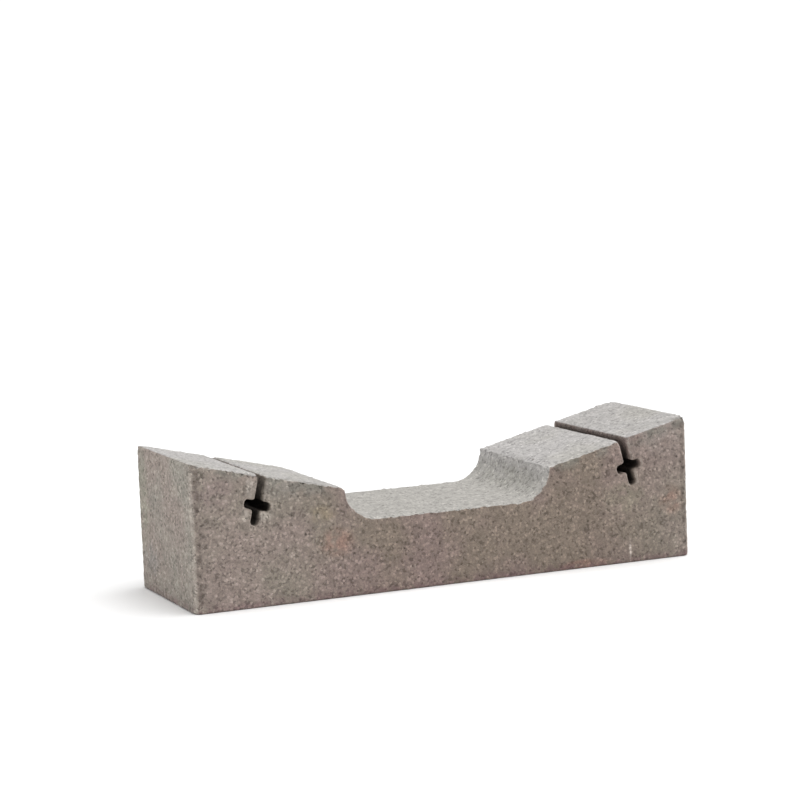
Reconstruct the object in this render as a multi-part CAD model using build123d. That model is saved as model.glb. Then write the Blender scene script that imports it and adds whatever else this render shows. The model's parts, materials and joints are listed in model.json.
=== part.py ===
from build123d import *
import os
from math import radians, tan

# Ballast block for a tilted solar panel: one piece of dry-cast concrete.
#
# The block lies on a flat roof or on the ground.  Each end carries an inclined
# seat that falls towards the middle, and the low edge of a panel frame rests on
# it.  A keyed slot runs through each seat from side to side.  A clamp bolt slides
# into it with its square plate in the cross bar of the key.  The saddle between
# the two seats is lower, which saves weight and leaves room for cables.
#
# Frame: X along the block, Y across it, +Z up, origin at the centre of the base.
# Millimetres.

# Block
block_length = 700.0
block_width = 220.0
end_height = 190.0  # top of each end face, before its edge is rounded

# Inclined seats
seat_angle = 13.5  # fall of a seat towards the middle, degrees
seat_run = 208.0  # length of a seat along X, from the end face inwards
saddle_height = 98.0  # thickness of the block under the saddle floor

# Keyed slot, drawn square to its seat
slot_inset = 98.0  # end face to the middle of the slot's mouth, along X
slot_width = 11.0  # clearance for the clamp bolt's shank
slot_depth = 65.0  # seat surface to the bottom of the slot
key_length = 36.0  # cross bar of the key, which holds the bolt's plate
key_height = 12.0
key_depth = 39.0  # seat surface to the middle of the cross bar

# Rounded edges left by the mould and by handling
corner_radius = 10.0  # four upright corners
arris_radius = 3.0  # every other outer edge
nose_radius = 4.0  # inner edge of a seat, above the cove
key_corner_radius = 2.5  # corners inside the keyed slot
slot_rim_chamfer = 1.5  # edges where the slot breaks the surface, knocked off all round

same_place = 0.01  # points closer than this are taken as one

# Worked out from the sizes above
half_length = block_length / 2
seat_fall = tan(radians(seat_angle))  # drop in height for each millimetre of run
seat_inner_x = half_length - seat_run
seat_inner_height = end_height - seat_run * seat_fall
cove_radius = seat_inner_height - saddle_height  # a quarter round from seat to floor
slot_x = half_length - slot_inset
slot_mouth_height = end_height - slot_inset * seat_fall


def side_outline() -> Sketch:
    """Side view of the block without its slots, mirrored about the middle."""
    middle_of_base = (0, 0)
    foot = (half_length, 0)
    peak = (half_length, end_height)
    nose = (seat_inner_x, seat_inner_height)
    cove_foot = (seat_inner_x - cove_radius, saddle_height)
    middle_of_floor = (0, saddle_height)

    base_end_and_seat = Polyline(middle_of_base, foot, peak, nose)
    cove = RadiusArc(nose, cove_foot, cove_radius, short_sagitta=True)
    floor = Line(cove_foot, middle_of_floor)
    right_side = Curve() + [base_end_and_seat, cove, floor]
    outline = make_face(right_side + mirror(right_side, about=Plane.YZ))
    noses = [v for v in outline.vertices() if abs(v.Y - seat_inner_height) < same_place]
    return fillet(noses, nose_radius)


def rounded_block() -> Part:
    """The outline carried across the block's width, with its outer edges rounded."""
    block = extrude(Plane.XZ * side_outline(), block_width / 2, both=True)
    block = fillet(block.edges().filter_by(Axis.Z), corner_radius)
    upright_seams = block.edges().filter_by(Axis.Z)
    # Edges across the block, apart from the two ends' own: noses, coves and floor flow together.
    cross_seams = [
        e for e in block.edges().filter_by(Axis.Y) if abs(e.center().X) < half_length - same_place
    ]
    smooth_seams = upright_seams + cross_seams
    arrises = [e for e in block.edges() if e not in smooth_seams]
    return fillet(arrises, arris_radius)


def key_outline() -> Sketch:
    """Keyed slot seen from the side: mouth on the X axis, bottom of the slot at -Y."""
    overshoot = slot_width  # carries the mouth clear above the seat
    shank_gap = Pos(0, (overshoot - slot_depth) / 2) * Rectangle(
        slot_width, slot_depth + overshoot
    )
    cross_bar = Pos(0, -key_depth) * Rectangle(key_length, key_height)
    outline = shank_gap + cross_bar
    inside_corners = [v for v in outline.vertices() if v.Y < 0]
    return fillet(inside_corners, key_corner_radius)


def keyed_slot(side: int) -> Part:
    """Void of one slot through the whole width; side is -1 at the left end, 1 at the right."""
    mouth = Plane.XZ * Pos(side * slot_x, slot_mouth_height) * Rot(0, 0, side * seat_angle)
    return extrude(mouth * key_outline(), block_width / 2 + slot_width, both=True)


def ballast_block() -> Part:
    """The whole block: rounded outside, a keyed slot at each end, slot rims chamfered."""
    solid_block = rounded_block()
    slots = [keyed_slot(side) for side in (-1, 1)]
    block = solid_block - slots
    # Seams inside a slot run the block's full width, and a rim is stopped by the arrises.
    rims = [
        e
        for e in new_edges(solid_block, *slots, combined=block)
        if e.length < block_width - arris_radius
    ]
    return chamfer(rims, slot_rim_chamfer)


finished_block = ballast_block()
finished_block.label = "ballast_block"
os.makedirs("parts", exist_ok=True)
export_step(finished_block, "parts/ballast_block.step")
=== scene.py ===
"""Looks of the ballast block: rough dry-cast concrete on a pale studio floor.

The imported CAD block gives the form.  A copy of it is remeshed, worn along its
arrises, pitted and roughened, and stands for the CAD node.
Metres, in the part's own frame: X along the block, Y across it, +Z up.
"""

import json
from math import radians, tan

import bpy
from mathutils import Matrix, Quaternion, Vector

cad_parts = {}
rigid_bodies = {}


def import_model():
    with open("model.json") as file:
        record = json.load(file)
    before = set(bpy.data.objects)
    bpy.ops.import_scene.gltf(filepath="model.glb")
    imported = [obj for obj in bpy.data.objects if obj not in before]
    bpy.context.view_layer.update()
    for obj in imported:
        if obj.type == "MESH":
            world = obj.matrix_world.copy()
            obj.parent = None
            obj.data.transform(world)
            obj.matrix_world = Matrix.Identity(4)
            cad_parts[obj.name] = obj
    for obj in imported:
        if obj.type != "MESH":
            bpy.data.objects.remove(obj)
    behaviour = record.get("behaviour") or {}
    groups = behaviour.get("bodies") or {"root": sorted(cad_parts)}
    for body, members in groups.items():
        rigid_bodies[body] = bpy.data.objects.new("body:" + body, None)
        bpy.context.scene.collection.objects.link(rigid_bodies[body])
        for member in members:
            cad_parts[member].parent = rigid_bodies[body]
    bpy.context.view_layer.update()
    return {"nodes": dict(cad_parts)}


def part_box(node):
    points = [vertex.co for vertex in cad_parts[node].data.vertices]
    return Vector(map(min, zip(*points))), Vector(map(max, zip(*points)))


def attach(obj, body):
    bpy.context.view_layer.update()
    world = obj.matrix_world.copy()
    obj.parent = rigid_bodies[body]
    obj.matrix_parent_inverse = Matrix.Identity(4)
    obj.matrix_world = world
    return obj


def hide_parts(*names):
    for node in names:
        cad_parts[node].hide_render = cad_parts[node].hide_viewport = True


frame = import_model()

MM = 0.001
BLOCK = "ballast_block"
low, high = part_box(BLOCK)
END_X = high.x
FACE_Y = high.y
SEAT_TOP = 190 * MM  # where a seat would meet the end face if its edge were sharp
SEAT_FALL = tan(radians(13.5))
SEAT_RUN = 208 * MM
SLOT_X = 252 * MM  # middle of a slot's mouth

GRID = 2.5 * MM  # cell of the remeshed block
WELD = 0.01 * MM  # points closer than this are one point
ROUNDED = 12 * MM  # takes in the rounding of any corner or outer edge
SEAT_ARRIS = 6 * MM  # takes in the rounding along a seat
MOUTH_REACH = 14 * MM  # from the middle of a slot's mouth to past its rims
BOARD_CLEARANCE = 1.5 * MM  # a point below this rests on the casting board
ARRIS_ANGLE = radians(8)  # an edge that turns by more than this belongs to an arris
WEAR_REACH = 9 * MM  # how far from an arris the crumbling goes
FULL_WEAR = 0.5 * MM  # and how near to it the crumbling is at its full depth
PASSES_PER_MM = 5  # of smoothing, for each millimetre that a knock reaches
KEPT_TRIANGLES = 0.84  # the share that brings the block under 200,000


def linear(hex_colour):
    """An sRGB hex colour as the linear RGBA that the shaders take."""
    channels = [int(hex_colour[i : i + 2], 16) / 255 for i in (1, 3, 5)]
    return [c / 12.92 if c <= 0.04045 else ((c + 0.055) / 1.055) ** 2.4 for c in channels] + [1]


def select_only(piece):
    bpy.ops.object.select_all(action="DESELECT")
    piece.hide_viewport = False
    piece.select_set(True)
    bpy.context.view_layer.objects.active = piece


def finish_with(piece, kind, **settings):
    """Adds a modifier and applies it at once."""
    modifier = piece.modifiers.new(kind.title(), kind)
    for name, value in settings.items():
        setattr(modifier, name, value)
    select_only(piece)
    bpy.ops.object.modifier_apply(modifier=modifier.name)


# ---------------------------------------------------------------- the block


def merged_copy(node, name):
    """A copy of a CAD node whose loose triangles are joined into one closed mesh."""
    select_only(node)
    bpy.ops.object.duplicate()
    piece = bpy.context.active_object
    piece.name = name
    bpy.ops.object.parent_clear(type="CLEAR_KEEP_TRANSFORM")
    for key in list(piece.keys()):
        del piece[key]
    bpy.ops.object.mode_set(mode="EDIT")
    bpy.ops.mesh.select_all(action="SELECT")
    bpy.ops.mesh.remove_doubles(threshold=WELD)
    bpy.ops.object.mode_set(mode="OBJECT")
    return piece


# Blowholes and chips: centre, then half-widths along X, Y and Z, all in millimetres.
# The centre lies on the surface, so about half of each hollow is cut.
HOLLOWS = [
    ((-350, -25, 94), (4, 2, 6)),  # long blowhole in the left end
    ((-200, -110, 150), (3, 3, 3)),
    ((-191, -110, 149), (4, 3, 3)),
    ((-277, -110, 152), (4, 5, 6)),  # broken edge over the left key
    ((-247, -110, 116), (7, 4, 5)),
    ((-345, -109, 188), (11, 6, 6)),  # crumbled corner of the left seat
    ((-325, -109, 182), (7, 4, 3)),
    ((-312, -109, 179), (5, 3, 3)),
    ((-297, -110, 175), (4, 3, 3)),
    ((-283, -110, 171), (5, 4, 4)),
    ((-268, -110, 168), (3, 3, 3)),
    ((-236, -110, 160), (4, 3, 3)),
    ((-222, -110, 157), (4, 3, 4)),
    ((-321, -110, 91), (4, 3, 3)),
    ((-335, -110, 93), (3, 3, 3)),
    ((-291, -110, 23), (3, 3, 4)),
    ((-301, -110, 62), (4, 3, 3)),
    ((-235, -110, 100), (3, 3, 3)),
    ((169, -110, 108), (3, 3, 3)),
    ((318, -110, 84), (5, 3, 4)),
    ((240, -110, 60), (3, 3, 3)),
    ((-55, -110, 30), (4, 3, 3)),
    ((60, -110, 75), (3, 3, 3)),
    ((150, 110, 60), (4, 3, 3)),
    ((-90, 110, 38), (5, 3, 3)),
    ((-290, 110, 120), (4, 3, 4)),
    ((350, 40, 70), (3, 4, 5)),
    ((350, -62, 130), (3, 4, 3)),
]
# The mix drained away from the mould's seam beside the front left corner.
SEAM_HEIGHTS = (166, 150, 137, 121, 108, 92, 77, 63, 52, 40, 27)
HOLLOWS += [((-341, -110, height), (3, 4, 4)) for height in SEAM_HEIGHTS]

# Corners knocked round in handling: place and reach, in millimetres.
KNOCKED_CORNERS = [
    ((350, -110, 188), 40),
    ((-350, -110, 189), 20),
    ((350, 110, 189), 18),
    ((-350, 110, 189), 16),
]


def hollow_cutter():
    """Every hollow as a squashed ball, joined into one piece that is cut out of the block."""
    balls = []
    for centre, half_widths in HOLLOWS:
        bpy.ops.mesh.primitive_ico_sphere_add(subdivisions=2, radius=1, location=Vector(centre) * MM)
        ball = bpy.context.active_object
        ball.scale = Vector(half_widths) * MM
        balls.append(ball)
    bpy.ops.object.select_all(action="DESELECT")
    for ball in balls:
        ball.select_set(True)
    bpy.ops.object.transform_apply(location=True, rotation=False, scale=True)
    bpy.ops.object.join()
    return bpy.context.active_object


def seat_height(x):
    """Height of the seat's plane over a point x metres from the middle of the block."""
    return SEAT_TOP - (END_X - abs(x)) * SEAT_FALL


def wears(edge, points):
    """True for an edge on the outside of the block: not in or round a key, and not on the floor."""
    middle = (points[edge.vertices[0]].co + points[edge.vertices[1]].co) / 2
    on_the_floor = middle.z < ROUNDED
    over_a_seat = END_X - SEAT_RUN < abs(middle.x) < END_X - ROUNDED
    below_the_seat = middle.z < seat_height(middle.x) - SEAT_ARRIS
    at_a_mouth = SLOT_X - MOUTH_REACH < abs(middle.x) < SLOT_X + MOUTH_REACH
    return not on_the_floor and not (over_a_seat and (below_the_seat or at_a_mouth))


def rough(point):
    """True off the casting board and outside the slots, whose walls a steel core leaves smooth."""
    past_the_cove = END_X - SEAT_RUN + ROUNDED < abs(point.x) < END_X - ROUNDED
    below_the_seat = point.z < seat_height(point.x) - GRID
    behind_the_face = abs(point.y) < FACE_Y - GRID
    in_a_slot = past_the_cove and below_the_seat and behind_the_face
    return point.z > BOARD_CLEARANCE and not in_a_slot


def arris_guide():
    """The sharp outer edges of the block alone, from which the reach of the wear is measured."""
    guide = merged_copy(frame["nodes"][BLOCK], "arris_guide")
    bpy.ops.object.mode_set(mode="EDIT")
    bpy.ops.mesh.select_mode(type="EDGE")
    bpy.ops.mesh.select_all(action="DESELECT")
    bpy.ops.mesh.edges_select_sharp(sharpness=ARRIS_ANGLE)
    bpy.ops.object.mode_set(mode="OBJECT")
    for edge in guide.data.edges:
        edge.select = edge.select and wears(edge, guide.data.vertices)
    bpy.ops.object.mode_set(mode="EDIT")
    bpy.ops.mesh.select_all(action="INVERT")
    bpy.ops.mesh.delete(type="EDGE")
    bpy.ops.mesh.select_mode(type="VERT")
    bpy.ops.object.mode_set(mode="OBJECT")
    return guide


def weight_near(piece, name, target, measure, reach):
    """A vertex group that is full beside the target and fades out at the reach."""
    everywhere = range(len(piece.data.vertices))
    piece.vertex_groups.new(name=name).add(everywhere, 1, "REPLACE")
    finish_with(
        piece,
        "VERTEX_WEIGHT_PROXIMITY",
        vertex_group=name,
        target=target,
        proximity_mode=measure,
        proximity_geometry={"EDGE"},
        min_dist=reach,
        max_dist=FULL_WEAR,
        falloff_type="SMOOTH",
    )


def knock_round(piece, corner, reach):
    """Rounds a corner off, as knocks do in handling."""
    bpy.ops.object.empty_add(location=corner)
    marker = bpy.context.active_object
    weight_near(piece, "knocked", marker, "OBJECT", reach)
    passes = int(reach / MM * PASSES_PER_MM)
    finish_with(piece, "SMOOTH", factor=0.5, iterations=passes, vertex_group="knocked")
    piece.vertex_groups.remove(piece.vertex_groups["knocked"])
    bpy.data.objects.remove(marker)


def relief(name, kind, size, rim=None, **settings):
    """A procedural pattern for the Displace modifier; size is its grain in metres.

    With a rim, only the middle of each cell is low: from its bottom to its edge, in cells.
    """
    texture = bpy.data.textures.new(name, kind)
    texture.noise_scale = size
    for key, value in settings.items():
        setattr(texture, key, value)
    if rim:
        texture.use_color_ramp = True
        bottom, edge = texture.color_ramp.elements
        bottom.position, edge.position = rim
        bottom.color, edge.color = (0, 0, 0, 1), (1, 1, 1, 1)
    return texture


def cast_block():
    """The CAD block, chipped, knocked, worn and roughened."""
    block = merged_copy(frame["nodes"][BLOCK], "cast_block")

    guide = arris_guide()
    cutter = hollow_cutter()
    finish_with(block, "BOOLEAN", object=cutter, operation="DIFFERENCE", use_self=True)
    bpy.data.objects.remove(cutter)
    finish_with(block, "REMESH", mode="VOXEL", voxel_size=GRID)

    for corner, reach in KNOCKED_CORNERS:
        knock_round(block, Vector(corner) * MM, reach * MM)
    weight_near(block, "worn", guide, "GEOMETRY", WEAR_REACH)
    bpy.data.objects.remove(guide)
    rough_points = [v.index for v in block.data.vertices if rough(v.co)]
    block.vertex_groups.new(name="rough").add(rough_points, 1, "REPLACE")

    # Each layer: its pattern, how far that reaches from darkest to lightest, the shade that lies at
    # the mould's surface, and where it works.  Darker parts are pressed in and lighter ones stand
    # out.  The surface is near the lightest, so nearly all goes inwards and the block keeps its size.
    crumbling = relief("crumbling", "CLOUDS", 8 * MM, noise_depth=2, noise_type="HARD_NOISE")
    filling = relief("uneven_filling", "CLOUDS", 45 * MM, noise_depth=1)
    pores = relief("open_pores", "VORONOI", 19 * MM, rim=(0.10, 0.17))
    grit = relief("grit", "CLOUDS", 4.5 * MM, noise_depth=1)
    layers = [
        (crumbling, 3.2 * MM, 0.85, "worn"),
        (filling, 0.6 * MM, 1.0, "rough"),
        (pores, 1.6 * MM, 1.0, "rough"),
        (grit, 1.4 * MM, 0.87, "rough"),
    ]
    for texture, depth, at_surface, reach in layers:
        finish_with(
            block,
            "DISPLACE",
            texture=texture,
            strength=depth,
            mid_level=at_surface,
            direction="NORMAL",
            texture_coords="LOCAL",
            vertex_group=reach,
        )

    # Flats such as the underside need few triangles, and they are the first to go.
    finish_with(block, "DECIMATE", ratio=KEPT_TRIANGLES)
    bpy.ops.object.shade_smooth()
    return block


block = cast_block()

# ------------------------------------------------------------- the material

MIX_A, MIX_B, MIX_RESULT = 6, 7, 2  # colour sockets of the Mix node
TIMES = {"operation": "MULTIPLY"}
LESS = {"operation": "SUBTRACT"}
SMOOTH = {"interpolation_type": "SMOOTHSTEP"}


def add(tree, kind, inputs=(), out=0, **settings):
    """Adds a node and gives back one of its outputs.

    inputs are values or other nodes' outputs: a list fills the sockets in order, and a dict
    says which socket each goes to.
    """
    node = tree.nodes.new("ShaderNode" + kind)
    for name, value in settings.items():
        setattr(node, name, value)
    sockets = inputs if isinstance(inputs, dict) else dict(enumerate(inputs))
    for socket, value in sockets.items():
        if isinstance(value, bpy.types.NodeSocket):
            tree.links.new(value, node.inputs[socket])
        else:
            node.inputs[socket].default_value = value
    return node.outputs[out]


# Stains, pale marks and patches of painted shade: centre and half-widths in millimetres, tint, and
# how strongly it shows.
STAINS_AND_PAINTED_SHADE = [
    ((-158, -110, 72), (30, 20, 24), "#a67f72", 0.45),  # iron in the sand
    ((-176, -110, 110), (24, 20, 15), "#998b73", 0.50),
    ((190, -110, 5), (45, 20, 9), "#9e786c", 0.60),
    ((322, -110, 78), (24, 20, 26), "#a07d70", 0.45),
    ((250, -110, 88), (45, 20, 30), "#8d8877", 0.45),  # green-grey fines
    ((-215, -110, 150), (55, 20, 26), "#928e88", 0.50),
    ((-320, -110, 150), (40, 20, 30), "#978483", 0.40),
    ((-253, -110, 115), (14, 20, 9), "#bdb5ab", 0.50),  # broken rims of the keys
    ((-279, -110, 118), (9, 20, 13), "#b2aaa0", 0.40),
    ((-271, -110, 152), (9, 20, 18), "#aea79f", 0.45),
    ((270, -110, 123), (13, 20, 8), "#b0a499", 0.40),
    ((245, -110, 117), (9, 20, 9), "#aca196", 0.35),
    ((337, -110, 186), (20, 20, 9), "#716d64", 0.60),  # crumbled top corner
    ((259, -110, 18), (2.4, 20, 24), "#c8bdb5", 0.70),  # lime run
    ((-350, 88, 120), (20, 34, 85), "#999a8a", 0.50),
    ((-350, 60, 45), (20, 40, 30), "#93928f", 0.50),
    ((300, 0, 180), (90, 200, 60), "#a3a09c", 0.40),  # painted shade on the right seat
    ((122, 0, 122), (34, 160, 30), "#9c9a92", 0.60),  # painted shade in the coves
    ((-122, 0, 122), (34, 160, 30), "#9c9a92", 0.45),
]


def dry_cast_concrete():
    """Dry-cast concrete: a stiff, sandy mix rammed into a steel mould and stripped at once.

    The eye sees sand and fine gravel with little paste between, open pores, a matt sugary
    surface and warmer, darker flanks.  The seats and saddle are paler, partly for the fines that
    the tamper left and partly as painted light from above; the end faces are a little paler, as
    painted light from the left.
    """
    material = bpy.data.materials.new("dry_cast_concrete")
    material.use_nodes = True
    tree = material.node_tree
    shader = tree.nodes["Principled BSDF"]
    shader.inputs["Roughness"].default_value = 0.92
    shader.inputs["Specular IOR Level"].default_value = 0.25

    # Where a point is, counted outwards from the middle of the block, and which way it faces.
    place = add(tree, "TexCoord", out="Object")
    x = add(tree, "SeparateXYZ", [place])
    outwards = add(tree, "VectorMath", [place], operation="ABSOLUTE")
    along, across, height = add(tree, "SeparateXYZ", [outwards]).node.outputs
    normal = add(tree, "NewGeometry", out="Normal")
    pointiness = normal.node.outputs["Pointiness"]
    turned = add(tree, "VectorMath", [normal], operation="ABSOLUTE")
    to_end, to_side = add(tree, "SeparateXYZ", [turned]).node.outputs[:2]
    height_at_middle = SEAT_TOP - END_X * SEAT_FALL
    seat = add(tree, "Math", [along, SEAT_FALL, height_at_middle], operation="MULTIPLY_ADD")
    depth = add(tree, "Math", [seat, height], **LESS)

    # The three finishes: flanks against the mould, end faces, and what the tamper pressed.
    flank = add(tree, "MapRange", [to_side, 0.35, 0.75], **SMOOTH)
    end_face = add(tree, "MapRange", [to_end, 0.3, 0.9], **SMOOTH)
    near_end = add(tree, "MapRange", [along, END_X - 14 * MM, END_X - 6 * MM], **SMOOTH)
    end_face = add(tree, "Math", [end_face, near_end], **TIMES)
    moulded = add(tree, "Math", [flank, end_face], operation="MAXIMUM")
    off_mould = add(tree, "Math", [1.0, moulded], **LESS)
    seat_edge = END_X - SEAT_RUN
    under_seat = add(tree, "MapRange", [along, seat_edge + 6 * MM, seat_edge + 12 * MM], **SMOOTH)
    below = add(tree, "MapRange", [depth, 3 * MM, 6 * MM], **SMOOTH)
    wall = add(tree, "MapRange", [to_end, 0.4, 0.8], **SMOOTH)
    lip = add(tree, "MapRange", [depth, 0.5 * MM, 2.5 * MM], **SMOOTH)
    lip = add(tree, "Math", [lip, wall], **TIMES)
    below = add(tree, "Math", [below, lip], operation="MAXIMUM")
    in_slot = add(tree, "Math", [off_mould, under_seat], **TIMES)
    in_slot = add(tree, "Math", [in_slot, below], **TIMES)
    tamped = add(tree, "Math", [off_mould, in_slot], **LESS)

    # The paste drifts from warm taupe to greenish grey over a hand's width, and the long
    # faces are browner about the middle, where the batch held more iron.
    drift = add(tree, "TexNoise", {"Vector": place, "Scale": 1 / (110 * MM), "Detail": 3.0})
    drift = add(tree, "MapRange", [drift, 0.38, 0.62], **SMOOTH)
    from_iron = add(tree, "Math", [x, 60 * MM], **LESS)
    from_iron = add(tree, "Math", [from_iron], operation="ABSOLUTE")
    iron = add(tree, "MapRange", [from_iron, 320 * MM, 130 * MM], **SMOOTH)
    low_down = add(tree, "MapRange", [height, 140 * MM, 100 * MM], **SMOOTH)
    # Each finish gets its own paste.  The seats and saddle are paler than the flanks, and the end
    # faces a little paler: partly the tone and the tamper's fines, partly painted light from above
    # and, on the end faces, from the left.
    pastes = {}
    for finish, warm, green in (
        ("flank", "#91847d", "#8a8278"),
        ("iron", "#887872", "#82766b"),
        ("end_face", "#9d928a", "#99948b"),
        ("seats", "#b2afad", "#aeaba6"),
    ):
        paste = {0: drift, MIX_A: linear(warm), MIX_B: linear(green)}
        pastes[finish] = add(tree, "Mix", paste, MIX_RESULT, data_type="RGBA")
    pastes["saddle"] = linear("#aaa7a2")

    # Coats are laid one over the other: how much each shows, and its colour.
    # The end-face, seat and saddle coats carry painted light as well as the tone of the paste.
    coats = [(iron, pastes["iron"]), (end_face, pastes["end_face"]), (tamped, pastes["seats"])]
    saddle = add(tree, "Math", [tamped, low_down], **TIMES)
    coats.append((saddle, pastes["saddle"]))
    # Painted highlight: the upright corners, where their rounding catches the light, are painted
    # paler.
    both_ways = add(tree, "Math", [to_end, to_side], operation="MINIMUM")
    corner_highlight = add(tree, "MapRange", [both_ways, 0.25, 0.55, 0.0, 0.35], **SMOOTH)
    coats.append((corner_highlight, linear("#b9afa6")))
    ragged = add(tree, "TexNoise", {"Vector": place, "Scale": 1 / (14 * MM)})
    ragged = add(tree, "MapRange", [ragged, 0.25, 0.6], **SMOOTH)
    for centre, half_widths, tint, strength in STAINS_AND_PAINTED_SHADE:
        size = {"Location": Vector(centre) * MM, "Scale": Vector(half_widths) * MM}
        spot = add(tree, "Mapping", {"Vector": place, **size}, vector_type="TEXTURE")
        spot = add(tree, "TexGradient", [spot], "Fac", gradient_type="SPHERICAL")
        spot = add(tree, "MapRange", [spot, 0.0, 0.7, 0.0, strength], **SMOOTH)
        coats.append((add(tree, "Math", [spot, ragged], **TIMES), linear(tint)))
    # Crumbs and dirt lie in a ragged band under the edges of the seats.
    band = add(tree, "MapRange", [depth, 20 * MM, 4 * MM, 0.0, 0.75], **SMOOTH)
    patchy = add(tree, "TexNoise", {"Vector": place, "Scale": 1 / (20 * MM), "Detail": 3.0})
    patchy = add(tree, "MapRange", [patchy, 0.36, 0.58], **SMOOTH)
    for share in (patchy, under_seat, flank):
        band = add(tree, "Math", [band, share], **TIMES)
    coats.append((band, linear("#77756d")))
    # Paste drained from the mould's seam beside each upright corner left it dark and open.
    seam = add(tree, "Math", [along, END_X - 9 * MM], **LESS)
    seam = add(tree, "Math", [seam], operation="ABSOLUTE")
    seam = add(tree, "MapRange", [seam, 6 * MM, 1 * MM, 0.0, 0.6], **SMOOTH)
    seam = add(tree, "Math", [seam, flank], **TIMES)
    # Ground damp tints the foot of the block purplish brown.
    foot = add(tree, "MapRange", [height, 14 * MM, 3 * MM, 0.0, 0.55], **SMOOTH)
    broken_up = add(tree, "TexNoise", {"Vector": place, "Scale": 1 / (9 * MM)})
    broken_up = add(tree, "MapRange", [broken_up, 0.36, 0.62], **SMOOTH)
    for mark, tint in ((seam, "#584e49"), (foot, "#796264")):
        coats.append((add(tree, "Math", [mark, broken_up], **TIMES), linear(tint)))
    # No dust settles inside a slot and little light reaches in: darker, the deeper it goes.
    gloom = add(tree, "MapRange", [depth, 2 * MM, 32 * MM, 0.25, 0.9], **SMOOTH)
    inside = add(tree, "MapRange", [across, FACE_Y - 5 * MM, FACE_Y - 18 * MM, 0.0, 1.0], **SMOOTH)
    gloom = add(tree, "Math", [gloom, inside], **TIMES)
    coats.append((add(tree, "Math", [gloom, in_slot], **TIMES), linear("#29231f")))
    colour = pastes["flank"]
    for share, coat in coats:
        coating = {0: share, MIX_A: colour, MIX_B: coat}
        colour = add(tree, "Mix", coating, MIX_RESULT, data_type="RGBA")

    # Sand and fine gravel.  Most real grains are under 2 mm, too fine to show, so they are
    # drawn at 1.7 and 3 mm.  A few are much darker or lighter than the paste.  Only the dust,
    # at 0.7 mm, is finer than what shows from a few metres away.
    jitter = {"Vector": place, "Scale": 1 / (2.2 * MM), "Detail": 3.0}
    jitter = add(tree, "TexNoise", jitter, "Color")
    reach = (2.4 * MM,) * 3
    strayed = add(tree, "VectorMath", [jitter, reach, place], operation="MULTIPLY_ADD")
    grains = add(tree, "TexVoronoi", {"Vector": strayed, "Scale": 1 / (3 * MM)})
    kind = add(tree, "SeparateColor", [grains.node.outputs["Color"]]).node.outputs
    dark_grain = add(tree, "MapRange", [kind["Red"], 0.72, 0.98, 1.0, 0.6], **SMOOTH)
    light_grain = add(tree, "MapRange", [kind["Green"], 0.76, 0.98, 1.0, 1.34], **SMOOTH)
    # Painted shade round the rim of each grain, and a little painted light in its middle, give it a
    # rounded look.
    between = add(tree, "MapRange", [grains, 0.25, 0.75, 1.08, 0.95], **SMOOTH)
    gravel = add(tree, "TexVoronoi", {"Vector": strayed, "Scale": 1 / (6.5 * MM)}, "Color")
    gravel = add(tree, "MapRange", [gravel, 0.2, 0.8, 0.91, 1.09])
    sand = add(tree, "TexNoise", {"Vector": place, "Scale": 1 / (1.7 * MM), "Detail": 1.0})
    sandy = add(tree, "MapRange", [sand, 0.3, 0.7, 0.91, 1.09], **SMOOTH)
    dust = add(tree, "TexNoise", {"Vector": place, "Scale": 1 / (0.7 * MM), "Detail": 1.0})
    dusty = add(tree, "MapRange", [dust, 0.3, 0.7, 0.9, 1.1], **SMOOTH)
    mottle = add(tree, "TexNoise", {"Vector": place, "Scale": 1 / (11 * MM)})
    mottle = add(tree, "MapRange", [mottle, 0.3, 0.7, 0.93, 1.07], **SMOOTH)
    # Pores are dark because little light reaches into them.
    cells = add(tree, "TexVoronoi", {"Vector": place, "Scale": 1 / (8 * MM)})
    opened = add(tree, "SeparateColor", [cells.node.outputs["Color"]], "Blue")
    opened = add(tree, "MapRange", [opened, 0.55, 0.7], **SMOOTH)
    pore = add(tree, "MapRange", [cells, 0.26, 0.12], **SMOOTH)
    pore = add(tree, "Math", [pore, opened], **TIMES)
    pore_shade = add(tree, "MapRange", [pore, 0.0, 1.0, 1.0, 0.6])
    hollow_shade = add(tree, "MapRange", [pointiness, 0.42, 0.49, 0.6, 1.0], **SMOOTH)
    tone = dark_grain
    for shade in (light_grain, between, gravel, sandy, dusty, mottle, pore_shade, hollow_shade):
        tone = add(tree, "Math", [tone, shade], **TIMES)
    # The tamped faces are evener than the flanks.
    evenness = add(tree, "MapRange", [tamped, 0.0, 1.0, 1.0, 0.8])
    tone = add(tree, "Math", [tone, evenness], operation="POWER")
    colour = add(tree, "VectorMath", {0: colour, "Scale": tone}, operation="SCALE")
    tree.links.new(colour, shader.inputs["Base Color"])

    roundness = add(tree, "Math", [grains, 0.6], **TIMES)
    fine_relief = add(tree, "Math", [sand, 0.8], **TIMES)
    for lower in (roundness, pore):
        fine_relief = add(tree, "Math", [fine_relief, lower], **LESS)
    strength = add(tree, "MapRange", [tamped, 0.0, 1.0, 0.7, 0.35])
    bump = {"Strength": strength, "Distance": 0.9 * MM, "Height": fine_relief}
    tree.links.new(add(tree, "Bump", bump), shader.inputs["Normal"])
    return material


def dress(piece, material):
    piece.data.materials.clear()
    piece.data.materials.append(material)


dress(block, dry_cast_concrete())
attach(block, "root")
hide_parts(BLOCK)

# ---------------------------------------------------------------- the studio


FLOOR_SIZE = 200  # metres, so that its edge lies beyond every view
HORIZON_GLOW, OVERHEAD_GLOW = 1.1, 0.28
DIMS_FROM, DIMS_TO = 0.12, 0.34  # heights on a dome of radius 1

# The camera stands off on a long lens.
EYE = (-1.2905, -2.9972, 0.6269)
AZIMUTH, ELEVATION, ROLL = 23.0, -6.95, -2.216  # degrees
LENS, SENSOR = 112.4, 36  # millimetres


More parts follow.
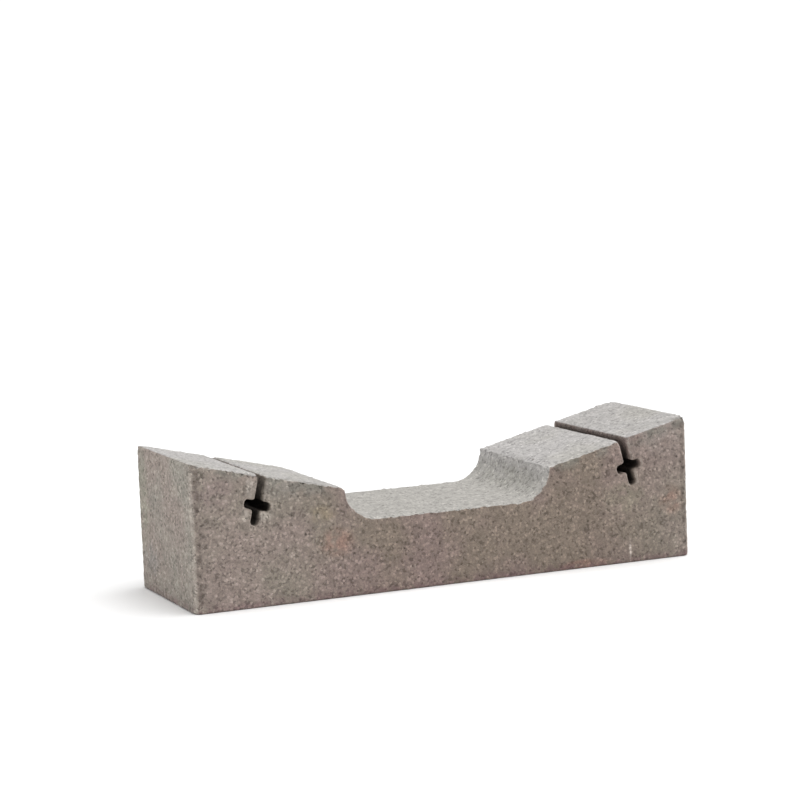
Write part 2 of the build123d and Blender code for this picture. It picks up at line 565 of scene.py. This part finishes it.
def studio_floor():
    """A white, matt sweep of paper under the block."""
    bpy.ops.mesh.primitive_plane_add(size=FLOOR_SIZE, location=(0, 0, low.z))
    floor = bpy.context.active_object
    floor.name = "studio_floor"
    material = bpy.data.materials.new("white_paper_sweep")
    material.use_nodes = True
    shader = material.node_tree.nodes["Principled BSDF"]
    shader.inputs["Base Color"].default_value = linear("#fafafa")
    shader.inputs["Roughness"].default_value = 1.0
    shader.inputs["Specular IOR Level"].default_value = 0.0
    floor.data.materials.append(material)


def studio_dome():
    """White near the horizon, dim above, so that the softbox overhead gives the shape."""
    world = bpy.data.worlds.new("studio_dome")
    world.use_nodes = True
    tree = world.node_tree
    direction = add(tree, "TexCoord", out="Generated")
    height = add(tree, "SeparateXYZ", [direction], "Z")
    dimming = [height, DIMS_FROM, DIMS_TO, HORIZON_GLOW, OVERHEAD_GLOW]
    glow = add(tree, "MapRange", dimming, **SMOOTH)
    tree.links.new(glow, tree.nodes["Background"].inputs["Strength"])
    tree.nodes["Background"].inputs["Color"].default_value = (1, 1, 1, 1)
    bpy.context.scene.world = world


def softbox(name, comes_from, strength, spread):
    """A wide, far light.  comes_from is the direction towards it, spread its width in degrees."""
    bpy.ops.object.light_add(type="SUN")
    lamp = bpy.context.active_object
    lamp.name = name
    lamp.rotation_mode = "QUATERNION"
    lamp.rotation_quaternion = Vector(comes_from).to_track_quat("Z", "Y")
    lamp.data.energy = strength
    lamp.data.angle = radians(spread)


def camera():
    """A level camera looks along +Y: turned by the azimuth, tilted, then leant to one side."""
    bpy.ops.object.camera_add(location=EYE)
    eye = bpy.context.active_object
    eye.rotation_mode = "QUATERNION"
    turn = Quaternion((0, 0, 1), radians(-AZIMUTH))
    tilt = Quaternion((1, 0, 0), radians(90 + ELEVATION))
    lean = Quaternion((0, 0, 1), radians(ROLL))
    eye.rotation_quaternion = turn @ tilt @ lean
    eye.data.sensor_width = SENSOR
    eye.data.lens = LENS
    eye.data.clip_end = 500
    bpy.context.scene.camera = eye


studio_floor()
studio_dome()
softbox("overhead_softbox", (0.22, -0.12, 0.97), 2.85, 60)
softbox("left_fill", (-0.9, 0.05, 0.45), 0.4, 80)
camera()
bpy.context.scene.view_settings.view_transform = "Standard"
